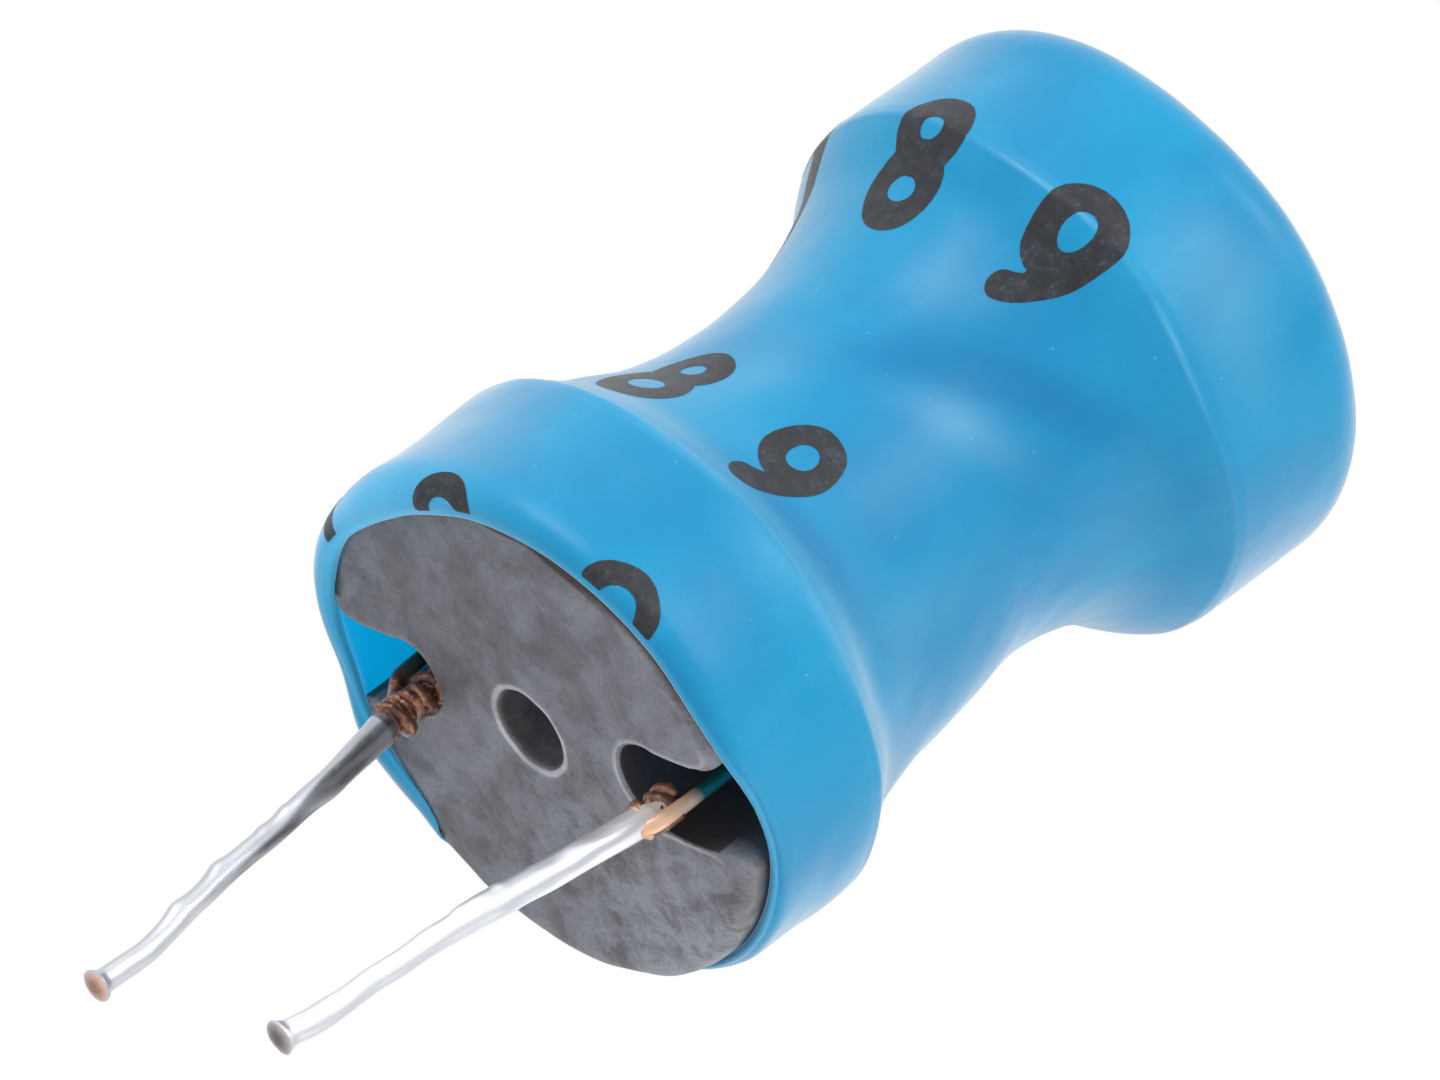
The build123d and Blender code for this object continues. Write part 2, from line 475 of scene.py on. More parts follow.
def frames_along(path):
    """Two directions across each point of a path that don't spin along it."""
    heading = np.gradient(path, axis=0)
    heading /= np.linalg.norm(heading, axis=1)[:, None]
    across = np.zeros_like(path)
    start = np.array([1.0, 0.0, 0.0]) if abs(heading[0][0]) < 0.8 else np.array([0.0, 1.0, 0.0])
    for i, way in enumerate(heading):
        start = start - way * start.dot(way)
        start = start / np.linalg.norm(start)
        across[i] = start
    return across, np.cross(heading, across)


def new_object(name, data):
    """A mesh, lamp or camera put in the scene."""
    made = bpy.data.objects.new(name, data)
    bpy.context.scene.collection.objects.link(made)
    return made


def make_piece(name, shape, finish, slot, *nodes, sharp=None):
    mesh = bpy.data.meshes.new(name)
    mesh.from_pydata((np.array(shape.points) * MM).tolist(), [], shape.faces)
    mesh.polygons.foreach_set("use_smooth", [True] * len(mesh.polygons))
    for label, column in shape.paint.items():
        mesh.attributes.new(label, "FLOAT", "POINT").data.foreach_set("value", column)
    if sharp:
        mesh.set_sharp_from_angle(angle=math.radians(sharp))
    mesh.materials.append(finish)
    mesh.validate()
    piece = new_object(name, mesh)
    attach(piece, "root")
    if nodes:
        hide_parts(*nodes)


# ---------------------------------------------------------------- sleeve

sway_way = np.array([math.cos(math.radians(sway_azimuth)), math.sin(math.radians(sway_azimuth))])
crease_heights = (base_thickness, window_top)
# Soft folds that the shrinking left: azimuth, height, half-width in degrees, half-length, height of the fold
folds = [
    (10, 3.05, 10, 0.55, 0.05), (-8, 3.5, 9, 0.5, -0.05), (30, 4.6, 12, 0.8, 0.05),
    (-30, 3.4, 14, 0.5, 0.03), (-70, 3.7, 16, 0.6, -0.03), (44, 9.6, 12, 0.7, -0.05),
    (18, 10.1, 12, 0.5, 0.04), (-25, 9.6, 16, 0.6, -0.03), (-75, 9.2, 14, 0.8, 0.04),
    (-110, 4.1, 14, 0.6, 0.04), (120, 4.2, 16, 0.7, -0.04), (165, 9.0, 18, 0.9, 0.05),
    (205, 4.6, 15, 0.8, 0.05), (240, 9.7, 16, 0.6, -0.04), (90, 8.8, 15, 0.9, 0.04),
    (-27, 13.5, 34, 0.7, 0.13), (-104, 13.3, 26, 0.6, 0.07), (203, 0.2, 17, 0.9, 0.13),
]
# Painted haze highlights, and painted shade for dark bands: azimuth, height, half-width in degrees,
# half-length, rise per degree and depth of tone
painted_haze_patches = [
    (-65, 8.95, 11, 0.50, 0.012, 0.22), (-38, 7.4, 17, 0.42, 0.030, 0.40), (-30, 12.2, 10, 1.1, 0.0, 0.25),
    (-84, 5.6, 9, 1.0, 0.0, 0.3), (-8, 5.0, 9, 1.2, 0.0, 0.2), (100, 6.2, 14, 0.8, 0.0, 0.4),
    (190, 8.3, 13, 0.7, 0.01, 0.4), (-109, 1.4, 18, 1.3, 0.0, 0.5), (-18, 11.6, 14, 0.7, 0.0, 0.2),
]
painted_shade_patches = [
    (-40, 8.40, 34, 0.50, 0.044, 0.95), (-40, 3.55, 24, 0.40, 0.004, 0.9), (-15, 8.2, 12, 0.9, 0.0, 0.4),
    (-44, 5.2, 20, 0.8, 0.0, 0.35), (-40, 1.6, 14, 0.5, 0.0, 0.3), (60, 3.6, 30, 0.4, 0.0, 0.5),
    (140, 8.0, 24, 0.5, -0.03, 0.6), (-30, 6.6, 60, 2.4, 0.0, 0.35), (-22, 12.4, 30, 1.2, 0.0, 0.2),
    (-64, 1.95, 16, 0.9, 0.0, 0.55), (-52, 8.9, 14, 1.0, 0.0, 0.45),
]
# Round the rim, the side given a painted glow, for light that comes through the wall
painted_glow_azimuth = -132
# Where the wall has sunk into a notch: azimuth and depth
notch_sags = ((0, 0.05), (175, 0.20))


def crease_waver(azimuth):
    """How far up the two creases wander."""
    return 0.035 * ripple(13, azimuth, 0.0, 6, 0.0)


def sleeve_relief(azimuth, height):
    """Small rises and dips of the shrunk wall, in millimetres."""
    relief = 0.010 * ripple(11, azimuth, height, 7, 0.35) + 0.0035 * ripple(12, azimuth, height, 24, 1.1)
    for at, up, wide, long, tall in folds:
        relief = relief + tall * bell(apart(azimuth, at), wide) * bell(height - up, long)
    for crease in crease_heights:
        relief = relief + 0.016 * bell(height - (crease + crease_waver(azimuth)), 0.07)
    return relief


def crease_highlight_at(azimuth, height):
    """Painted highlight lines along the bends over the flanges' inner edges."""
    waver = crease_waver(azimuth)
    uneven = np.clip(0.65 + 0.4 * ripple(14, azimuth, 0.0, 9, 0.0), 0.2, 1.0)
    low = bell(height - base_thickness - waver, 0.13) * 0.38
    high = bell(height - window_top - waver, 0.036) * (0.15 + 1.1 * bell(apart(azimuth, -46), 26))
    return (low + high) * uneven


def patches_at(patches, azimuth, height):
    """Share of a patchy tone at each place."""
    total = 0.0
    for at, up, wide, long, rise, most in patches:
        turn = apart(azimuth, at)
        total = total + most * bell(turn, wide) * bell(height - up - rise * turn, long)
    return np.clip(total, 0, 1)


def notch_sag(azimuth, height):
    """How far the unsupported wall has sunk into the two notches."""
    sag = 0.0
    for at, deep in notch_sags:
        sag = sag + deep * bell(apart(azimuth, at), 13)
    return sag * np.clip((base_thickness - height) / 1.6, 0, 1)


def sleeve_point(azimuth, reach, inner, lift=0.0):
    """A point of the sleeve: inner is 0 on its outside and 1 on its inside, reach runs up its wall."""
    azimuth, reach = np.broadcast_arrays(np.asarray(azimuth, float), np.asarray(reach, float))
    height = np.maximum(reach, base_corner)
    rim = through(rim_line, azimuth, 360)
    drawn = through(drawn_thin, azimuth, 360) * np.clip((0.45 - reach) / 0.3, 0, 1)
    past_rim = np.maximum(reach - rim, 0)
    thinning = rim_thinning * np.exp(-past_rim / thinned_length) * (1 - inner) * (1 - drawn)
    outside = through(side_line, height) + sleeve_relief(azimuth, height) * (1 - 0.5 * inner) - thinning
    outside = outside - drawn * (outside - flange_radius - drawn_wall)
    slope = (through(side_line, height + 0.02) - through(side_line, height - 0.02)) / 0.04
    wall = sleeve_wall * np.sqrt(1 + slope**2)
    on_flange = (height < base_thickness) | (height > window_top)
    over_coil = np.minimum(wall, outside - coil_outer - wound_gap)
    wall = np.where(on_flange, outside - flange_radius - sleeve_gap, over_coil)
    radius = outside - inner * wall + lift
    # round the base corner, and in over the face
    past = base_corner - reach
    bend = np.clip(past / inner_corner, 0, math.pi / 2)
    over = np.maximum(past - inner_corner * math.pi / 2, 0)
    hub = flange_radius - base_corner
    turn = radius - hub
    r = hub + turn * np.cos(bend) - over
    z = height - turn * np.sin(bend)
    # over the top corner, and in to the lip
    corner = top_corner + (outside - flange_radius)
    top_start = core_height - top_corner
    past = np.maximum(reach - top_start, 0)
    top_bend = np.clip(past / corner, 0, math.pi / 2)
    top_over = np.maximum(past - corner * math.pi / 2, 0)
    top_hub = flange_radius - top_corner
    top_turn = radius - top_hub
    is_top = reach > top_start
    r = np.where(is_top, top_hub + top_turn * np.cos(top_bend) - top_over, r)
    z = np.where(is_top, top_start + top_turn * np.sin(top_bend), z)
    r = r - notch_sag(azimuth, z)
    shift = through(sway, height)
    angle = np.radians(azimuth)
    x = r * np.cos(angle) + shift * sway_way[0]
    y = r * np.sin(angle) + shift * sway_way[1]
    return np.stack([x, y, z], axis=-1)


def wall_rows(low, high, spacing, fine):
    """Heights up the wall, closer together near the two bends."""
    rows = [low]
    while rows[-1] < high:
        near = min(abs(rows[-1] - crease) for crease in crease_heights)
        rows.append(rows[-1] + (fine if near < 0.35 else spacing))
    rows[-1] = high
    return np.array(rows)


def make_sleeve(finish):
    shape = Shape()
    columns = 330
    azimuth = np.arange(columns) * 360 / columns
    rim = through(rim_line, azimuth, 360) + 0.006 * ripple(21, azimuth, 0.0, 14, 0.0)
    # the rows follow the rim up to zone_top, are level up to top_low, and follow the lip from there
    zone_top = 1.1
    top_low = core_height - top_corner
    top_path = top_low + (top_corner + 0.26) * math.pi / 2
    lip = top_path + (flange_radius - top_corner - lip_opening) + 0.10 * ripple(22, azimuth, 0.0, 5, 0.0)

    def rows_of(lower, middle, upper):
        rows = [rim + (zone_top - rim) * share for share in lower]
        rows += [np.full_like(azimuth, height) for height in middle]
        rows += [top_low + (lip - top_low) * share for share in upper]
        return np.array(rows)

    def edge(reach, bulge):
        """The rounded cut edge between the outside and the inside."""
        rows = []
        for depth in (0.08, 0.25, 0.5, 0.75, 0.92):
            rows.append(sleeve_point(azimuth, reach + bulge * math.sin(math.pi * depth), depth))
        return np.array(rows)

    ease = np.linspace(0, 1, 16)[:-1] ** 1.35
    ninths = np.linspace(0, 1, 9)
    outer_reach = rows_of(ease, wall_rows(zone_top, top_low, 0.12, 0.045), np.linspace(0, 1, 20)[1:])
    inner_reach = rows_of(ninths[:-1], wall_rows(zone_top, top_low, 0.5, 0.12), ninths[1:])
    rim_edge = edge(rim, -0.07)[::-1]
    outer = sleeve_point(azimuth[None, :], outer_reach, 0.0)
    lip_edge = edge(lip, 0.08)
    inner = sleeve_point(azimuth[None, :], inner_reach, 1.0)
    # one closed skin: rim edge from inside to outside, up the outside, lip edge, down the inside
    skin = np.concatenate([rim_edge, outer, lip_edge, inner[::-1]])
    rim_rows, outer_rows, lip_rows, inner_rows = row_ranges(rim_edge, outer, lip_edge, inner)
    paint = {name: np.zeros(skin.shape[:2]) for name in ("strain", "cut", "inside", "milky", "dense", "lit")}
    paint["strain"][outer_rows] = crease_highlight_at(azimuth[None, :], outer_reach)
    # painted haze highlights and painted shade patches
    paint["milky"][outer_rows] = patches_at(painted_haze_patches, azimuth[None, :], outer_reach)
    paint["dense"][outer_rows] = patches_at(painted_shade_patches, azimuth[None, :], outer_reach)
    # a painted glow on one side of the rim
    painted_glow_side = bell(apart(azimuth[None, :], painted_glow_azimuth), 42)
    paint["lit"][outer_rows] = painted_glow_side * np.clip((0.6 - outer_reach) / 0.45, 0, 1)
    paint["lit"][rim_rows] = painted_glow_side
    # the cut edges and the first outer row get a painted highlight
    paint["cut"][rim_rows] = 1.0
    paint["cut"][lip_rows] = 1.0
    paint["cut"][outer_rows.start] = 0.4
    # the inside wall is lighter and gets a painted glow
    paint["inside"][inner_rows] = 1.0
    shape.grid(skin, wrap_rows=True, **paint)
    make_piece("shrunk_sleeve", shape, finish, "shrink_sleeve", "sleeve")


def row_ranges(*blocks):
    """Where the rows of each block lie once the blocks are stacked."""
    ends = np.cumsum([len(block) for block in blocks]).tolist()
    return [slice(end - len(block), end) for end, block in zip(ends, blocks)]


# ---------------------------------------------------------------- print

digit_height = 2.3
digit_width = 1.62
# Each row's digits, their azimuths, heights of its first, second and further digits, and width of its
# strokes; below base_corner the height runs on round the core's corner
digit_rows = (
    ("98765", (-55.6, -95.8, -141.5, -184, -226), (10.20, 10.17, 10.0), 0.50),
    ("98765", (-55.6, -95.8, -139.0, -181, -223), (4.31, 4.47, 4.4), 0.48),
    ("981", (-51.4, -98.4, -144.3), (-0.50, -0.95, 0.69), 0.40),
)
print_radius = 4.6
print_lift = 0.006
print_step = 0.05
# Strokes in a box 1 wide and 1 high: corners of a line, or an arc's centre, radii, start and end angle
digit_strokes = {
    "1": [("line", (0.2, 0.76), (0.52, 1.0), (0.52, 0.0))],
    "5": [("line", (0.94, 1.0), (0.14, 1.0), (0.08, 0.56)), ("arc", (0.44, 0.33), (0.52, 0.33), 135, -150)],
    "6": [("arc", (0.5, 0.31), (0.46, 0.31), 0, 360), ("arc", (0.95, 0.31), (0.91, 0.69), 180, 105)],
    "7": [("line", (0.0, 1.0), (1.0, 1.0), (0.36, 0.0))],
    "8": [("arc", (0.5, 0.755), (0.42, 0.245), 0, 360), ("arc", (0.5, 0.26), (0.5, 0.26), 0, 360)],
    "9": [("arc", (0.5, 0.69), (0.46, 0.31), 0, 360), ("arc", (0.05, 0.69), (0.91, 0.69), 0, -75)],
}


def stroke_points(digit, stroke):
    """Points along each stroke of a digit, in millimetres from its middle."""
    wide, tall = digit_width - stroke, digit_height - stroke
    strokes = []
    for kind, *facts in digit_strokes[digit]:
        if kind == "line":
            points = np.array(facts)
        else:
            centre, radii, start, end = facts
            angle = np.radians(np.linspace(start, end, 25))
            points = np.stack([np.cos(angle), np.sin(angle)], axis=1) * radii + centre
        strokes.append((points - 0.5) * (wide, tall))
    return strokes


def distance_to(strokes, x, y):
    """Distance of every (x, y) from the nearest stroke."""
    nearest = np.full(x.shape, np.inf)
    for points in strokes:
        for (ax, ay), (bx, by) in zip(points[:-1], points[1:]):
            dx, dy = bx - ax, by - ay
            t = np.clip(((x - ax) * dx + (y - ay) * dy) / (dx * dx + dy * dy), 0, 1)
            nearest = np.minimum(nearest, np.hypot(x - ax - t * dx, y - ay - t * dy))
    return nearest


def print_digit(shape, digit, azimuth, height, stroke):
    """Adds one printed digit, laid on the sleeve, cut off where the sleeve's rim is."""
    spans = [size / 2 + stroke for size in (digit_width, digit_height)]
    x, y = np.meshgrid(*[np.arange(-span, span, print_step) for span in spans])
    uneven = 0.014 * ripple(31 + len(shape.points), x * 40, y, 9, 1.4)
    inside = stroke / 2 - distance_to(stroke_points(digit, stroke), x, y) + uneven
    corner_share = inner_corner / (base_corner + sleeve_wall)

    def on_sleeve(px, py):
        up = height + py
        reach = np.where(up < base_corner, base_corner - (base_corner - up) * corner_share, up)
        return azimuth + np.degrees(px / print_radius), reach

    angle, reach = on_sleeve(x, y)
    inside = np.minimum(inside, reach - through(rim_line, angle, 360) - 0.02)
    known, flat, faces = {}, [], []

    def point(key, px, py):
        if key not in known:
            known[key] = len(flat)
            flat.append((px, py))
        return known[key]

    rows, columns = inside.shape
    for r in range(rows - 1):
        for c in range(columns - 1):
            corners = [(r, c), (r, c + 1), (r + 1, c + 1), (r + 1, c)]
            if all(inside[k] <= 0 for k in corners):
                continue
            face = []
            for here, there in zip(corners, corners[1:] + corners[:1]):
                a, b = inside[here], inside[there]
                if a > 0:
                    face.append(point(here, x[here], y[here]))
                if (a > 0) != (b > 0):
                    t = a / (a - b)
                    px = x[here] + t * (x[there] - x[here])
                    py = y[here] + t * (y[there] - y[here])
                    face.append(point((min(here, there), max(here, there)), px, py))
            if len(face) > 2:
                faces.append(face)
    if not flat:
        return
    flat = np.array(flat)
    first = shape.add_points(sleeve_point(*on_sleeve(flat[:, 0], flat[:, 1]), 0.0, print_lift))
    shape.faces.extend([[first + i for i in face] for face in faces])


def make_print(finish):
    shape = Shape()
    for text, azimuths, heights, stroke in digit_rows:
        for i, digit in enumerate(text):
            print_digit(shape, digit, azimuths[i], heights[min(i, 2)], stroke)
    make_piece("printed_digits", shape, finish, "shrink_sleeve")


# ---------------------------------------------------------------- drum core


def arc(centre, radius, start, end, spacing=0.06):
    count = max(3, int(abs(math.radians(end - start)) * radius / spacing))
    angle = np.radians(np.linspace(start, end, count, endpoint=False))
    return np.stack([centre[0] + radius * np.cos(angle), centre[1] + radius * np.sin(angle)], axis=1)


def straight(start, end, spacing=0.06):
    count = max(2, int(math.dist(start, end) / spacing))
    t = np.linspace(0, 1, count, endpoint=False)[:, None]
    return np.array(start) * (1 - t) + np.array(end) * t


def flange_outline():
    """The base flange's outline with its two notches, each point's share of the outer corner's radius,
    and which part of the outline it is on: 0 notch floor, 1 notch wall, 2 lip, 3 outside."""
    half = notch_width / 2
    floor_centre = notch_floor + half
    lip_y = half + lip_radius
    lip_x = math.sqrt((flange_radius - lip_radius) ** 2 - lip_y**2)
    lip_angle = math.degrees(math.atan2(lip_y, lip_x))
    quarter = [
        arc((floor_centre, 0), half, 180, 90),
        straight((floor_centre, half), (lip_x, half)),
        arc((lip_x, lip_y), lip_radius, -90, lip_angle),
        arc((0, 0), flange_radius, lip_angle, 90),
    ]
    counts = [len(line) for line in quarter]
    wall_share = through([(0, 0.1), (0.15, 0.0), (0.85, 0.0), (1, 0.2)], np.linspace(0, 1, counts[1]))
    lip_share = np.linspace(0.2, 0.8, counts[2])
    share = np.concatenate([np.full(counts[0], 0.1), wall_share, lip_share, np.linspace(0.8, 1.0, counts[3])])
    parts = np.repeat(np.arange(4), counts)
    first = np.concatenate(quarter)

    def all_round(values, middle):
        """A quarter's values carried over to the other three."""
        upper = np.concatenate([values, middle, values[::-1]])
        return np.concatenate([upper, upper[::-1][1:-1]])

    upper = np.concatenate([first, [(0, flange_radius)], first[::-1] * (-1, 1)])
    outline = np.concatenate([upper, upper[::-1][1:-1] * (1, -1)])
    return outline, all_round(share, [1.0]), all_round(parts, [3])


def make_core(finish):
    shape = Shape()
    outline, share, part = flange_outline()
    count = len(outline)
    x, y = outline.T
    # the pressed notches aren't quite alike
    outline[:, 1] += 0.09 * bell(x - 3.0, 0.9) * bell(y + 0.75, 0.3)
    outline[:, 1] -= 0.16 * bell(x + 2.6, 0.8) * bell(y - 0.7, 0.45)
    outline[:, 1] += 0.14 * bell(x - 3.2, 1.1) * bell(y - 0.75, 0.3)
    outline[:, 0] -= 0.10 * bell(x + 1.98, 0.35) * bell(y, 0.7)
    ahead = np.roll(outline, -1, axis=0) - np.roll(outline, 1, axis=0)
    ahead /= np.linalg.norm(ahead, axis=1)[:, None]
    inward = np.stack([-ahead[:, 1], ahead[:, 0]], axis=1)
    length = np.cumsum(np.linalg.norm(np.diff(outline, axis=0, append=outline[:1]), axis=1))
    chips = 1 + 0.10 * ripple(41, length * 9, 0.0, 30, 0.0)
    least = 0.05
    corner = (least + (base_corner - least) * share) * np.clip(chips, 0.8, 1.05)
    azimuth = np.degrees(np.arctan2(y, x))
    rim = through(rim_line, azimuth, 360)
    # the notches and the gap beside the sleeve get painted shade: from where up the side this starts, and
    # ends
    floor, wall, lip, outside = [part == i for i in range(4)]
    gap_from = rim - np.where(rim > 0.3, 0.25, 0.11)
    dark_from = np.select(
        [floor, wall, lip & (x > 0), lip], [corner * 0.5, corner * 0.4, 0.42, corner * 0.4],
        np.maximum(gap_from, 0.2 * bell(apart(azimuth, 218), 30) - 0.17),
    )
    dark_over = np.where(outside | lip, 0.05, 0.025)
    darkest = np.where(wall & (x < 0), 0.42, 0.92)
    # painted shade bands along the side near azimuth -68 and at the lip near azimuth 20
    painted_shade_band = 0.46 * outside * bell(apart(azimuth, -68), 45)
    painted_shade_band = painted_shade_band + 0.34 * (outside | lip) * bell(apart(azimuth, 20), 9)
    # lighter edges, partly wear and partly painted highlight: full on the +x side, fading along one +x lip
    edge_highlight_side = np.where(x > 0, 1.0, 0.25)
    lip_highlight_fade = np.where((x > 0) & (y > 0), np.clip((4.0 - x) / 0.4, 0.05, 1), 1.0)
    wear = np.clip(1.05 - share * 1.15, 0.06, 1) * edge_highlight_side * lip_highlight_fade
    rings, worn, deep = [], [], []

    def add_ring(inset, height, wear_here, shaded=True):
        heights = np.broadcast_to(height, count)
        rings.append(np.column_stack([outline + inward * np.reshape(inset, (-1, 1)), heights]))
        worn.append(np.broadcast_to(wear_here, count))
        shade = np.clip((heights - dark_from) / dark_over, 0, 1) * darkest
        deep.append(np.maximum(shade, painted_shade_band * np.clip(heights / 0.02, 0, 1)) * shaded)

    add_ring(corner + 0.07, 0.0, 0.0, shaded=False)
    for bend in np.linspace(90, 0, 13):
        turn = math.radians(bend)
        add_ring(corner * (1 - math.cos(turn)), corner * (1 - math.sin(turn)), wear * bell(bend - 82, 13))
    for height in (0.55, 0.75, 0.95, 1.6, base_thickness - 0.1, base_thickness):
        add_ring(0.1 if height == base_thickness else 0.0, height, 0.0)
    first = shape.grid(np.array(rings), flip=True, worn=np.array(worn), deep=np.array(deep))
    top_ring = first + (len(rings) - 1) * count
    bore_first, bore_top = add_bore(shape)
    rounds = range(round_sides)
    fill_between(shape, range(first, first + count), [bore_first + i for i in rounds], -1)
    fill_between(shape, range(top_ring, top_ring + count), [bore_top + i for i in rounds], 1)
    # the pressed base is a little out of true with the flange's edge
    points = np.array(shape.points)
    off = 0.12 * np.clip(1 - (points[:, :2] ** 2).sum(axis=1) / flange_radius**2, 0, 1)
    points[:, :2] -= (off * (points[:, 2] < base_thickness))[:, None] * sway_way
    shape.points = points.tolist()
    spin(shape, *core_profile())
    x, y, z = np.array(shape.points).T
    stain = bell(x + 1.75, 0.34) * bell(y + 0.42, 0.36) + 1.5 * bell(x - 1.72, 0.36) * bell(y - 0.80, 0.14)
    shape.paint["stain"] = (stain * bell(z, 0.5)).tolist()
    # lighter mottling towards (1.9, 2.6) on the face, less towards (1.7, -2.1)
    dusty = 0.32 + bell(x - 1.9, 2.2) * bell(y - 2.6, 1.9) - 0.4 * bell(x - 1.7, 1.6) * bell(y + 2.1, 1.2)
    shape.paint["dusty"] = dusty.tolist()
    shape.paint["calm"] = (0.8 * bell(x + 1.6, 2.0) * bell(y + 2.9, 2.0)).tolist()
    make_piece("ferrite_drum", shape, finish, "ferrite", "drum_core", sharp=50)


def add_bore(shape):
    """The worn mouth of the centre hole and its wall; returns where its first and last rings start."""
    mouth = hole_radius + hole_chamfer
    # radius, height, light wear with painted highlight, and depth of painted shade of each ring,
    # from the face into the hole
    steps = [
        (mouth + 0.16, 0.0, 0.0, 0.0), (mouth + 0.09, 0.0, 0.1, 0.0), (mouth + 0.06, 0.0, 0.8, 0.0),
        (mouth + 0.02, 0.0, 1.0, 0.0), (mouth - 0.02, 0.012, 0.8, 0.0), (mouth - 0.04, 0.03, 0.2, 0.5),
        (hole_radius, hole_chamfer, 0.0, 0.84), (hole_radius, 0.2, 0.0, 0.62), (hole_radius, 0.4, 0.0, 0.15),
        (hole_radius, 0.7, 0.0, 0.0), (hole_radius, bore_seam, 0.0, 0.3),
        (bore_seam_radius, bore_seam, 0.0, 0.0), (bore_seam_radius, base_thickness, 0.0, 0.0),
    ]
    ways = circle_ways(round_sides)
    around = np.arange(round_sides) * TAU / round_sides
    degrees = np.degrees(around)
    # the mouth is worn a little oval
    uneven = 1 + 0.014 * ripple(42, degrees, 0.0, 9, 0.0)
    oval = 1 - 0.10 * np.sin(around - math.radians(sway_azimuth)) ** 2
    rings = [ways * (r * uneven * (oval if z < 1 else 1))[:, None] + (0, 0, z) for r, z, _, _ in steps]
    paint = np.array(steps)[:, 2:, None] * np.ones(round_sides)
    worn_side = np.clip(0.975 + 0.225 * ripple(43, degrees, 0.0, 5, 0.0), 0.35, 1.0)
    first = shape.grid(np.array(rings), worn=paint[:, 0] * worn_side, deep=paint[:, 1])
    return first, first + (len(steps) - 1) * round_sides


def fill_between(shape, outer, inner, way):
    """Closes the flat face between two rings of points."""
    mesh = bmesh.new()
    index = {}
    for i in list(outer) + list(inner):
        vert = mesh.verts.new(shape.points[i])
        index[vert] = i
    verts = list(index)
    loops = verts[:len(outer)], verts[len(outer):]
    edges = [mesh.edges.new((loop[i - 1], loop[i])) for loop in loops for i in range(len(loop))]
    made = bmesh.ops.triangle_fill(mesh, use_beauty=True, use_dissolve=False, edges=edges)
    for face in made["geom"]:
        if isinstance(face, bmesh.types.BMFace):
            face.normal_update()
            shape.add_face([index[v] for v in face.verts], flip=face.normal.z * way <= 0)
    mesh.free()


def core_profile():
    """Half-section of the column and the top flange, and of the blind end of the hole."""
    line = [(hole_radius, bore_seam), (column_radius, bore_seam)]
    line += [(column_radius, 2.0), (column_radius, window_top)]
    line += [(flange_radius - 0.12, window_top), (flange_radius, window_top + 0.12)]
    line += [(flange_radius, window_top + 1.2), (flange_radius, core_height - top_corner)]
    for bend in np.radians(np.linspace(0, 90, 9))[1:]:
        hub_r, hub_z = flange_radius - top_corner, core_height - top_corner
        line.append((hub_r + top_corner * math.cos(bend), hub_z + top_corner * math.sin(bend)))
    line += [(2.4, core_height), (0.0, core_height)]
    return line, [(0.0, hole_depth), (hole_radius, hole_depth), (hole_radius, 2.4)]


def spin(shape, outside, hole, sides=128):
    """Turns a half-section about the axis; its two ends on the axis are closed."""
    first = shape.grid(turned_rings(outside[:-1], sides))
    last = first + (len(outside) - 2) * sides
    tip = shape.add_points([(0, 0, outside[-1][1])])
    for c in range(sides):
        shape.add_face([last + c, last + (c + 1) % sides, tip])
    # the blind end of the hole in painted shade
    start = shape.grid(turned_rings(hole[1:], sides), deep=0.92)
    end = shape.add_points([(0, 0, hole[0][1])], deep=0.92)
    low = start + (len(hole) - 2) * sides
    for c in range(sides):
        across = (c + 1) % sides
        shape.add_face([end, start + across, start + c], flip=True)
        shape.add_face([low + c, low + across, first + across, first + c])


# ---------------------------------------------------------------- winding


def smooth_path(base, points, spacing=0.05):
    """A smooth line through a few points given from a base, with points spaced evenly along it."""
    points = np.array(points, float) + (*base, 0)
    reach = np.concatenate([[0], np.cumsum(np.linalg.norm(np.diff(points, axis=0), axis=1))])
    at = np.linspace(0, reach[-1], max(8, int(reach[-1] / spacing)))
    return np.stack([through(list(zip(reach, points[:, k])), at) for k in range(3)], axis=1)


def wrap_path(base, axis_low, axis_high, turns, radius, start, seed, jitter):
    """Wire wrapped by hand round a bundle: an uneven helix, its axis given from a base."""
    t = np.linspace(0, 1, int(turns * 26))
    angle = np.radians(start) + TAU * turns * t
    wobble = ripple(seed, np.degrees(angle) / 3, t, 7, 1.0)
    r = radius * (1 + jitter * wobble)
    low, high = np.array([axis_low, axis_high], float) + (*base, 0)
    centre = low + (high - low) * t[:, None]
    centre[:, 2] += 0.06 * ripple(seed + 1, np.degrees(angle) / 2, t, 5, 1.0)
    return centre + np.stack([r * np.cos(angle), r * np.sin(angle), np.zeros_like(t)], axis=1)


def make_coil(shape):
    """The turns on the column: the outer layer as one helix, the layers below as one body."""
    pitch = 2 * wire_radius + 0.01
    first_turn = base_thickness + 0.14
    turns = int((window_top - base_thickness - 0.02) / pitch)
    crest = coil_outer - wire_radius
    t = np.linspace(0, turns - 1, turns * 48)
    coil = np.stack([crest * np.cos(TAU * t), crest * np.sin(TAU * t), first_turn + pitch * t], axis=1)
    shape.tube(coil, wire_radius, sides=8, bare=0.0, shade=0.0)
    last_turn = first_turn + pitch * (turns - 1)
    body = [(coil_inner, first_turn), (crest, first_turn), (crest, last_turn), (coil_inner, last_turn)]
    shape.grid(turned_rings(body, round_sides), wrap_rows=True)


def uneven_radius(seed, path, amount):
    """Radius of a wire with flux and burnt enamel on it, at each point of its path."""
    along = np.arange(len(path)) * 9.0
    return wire_radius * (1 + amount * ripple(seed, along, 0.0, 30, 0.0))


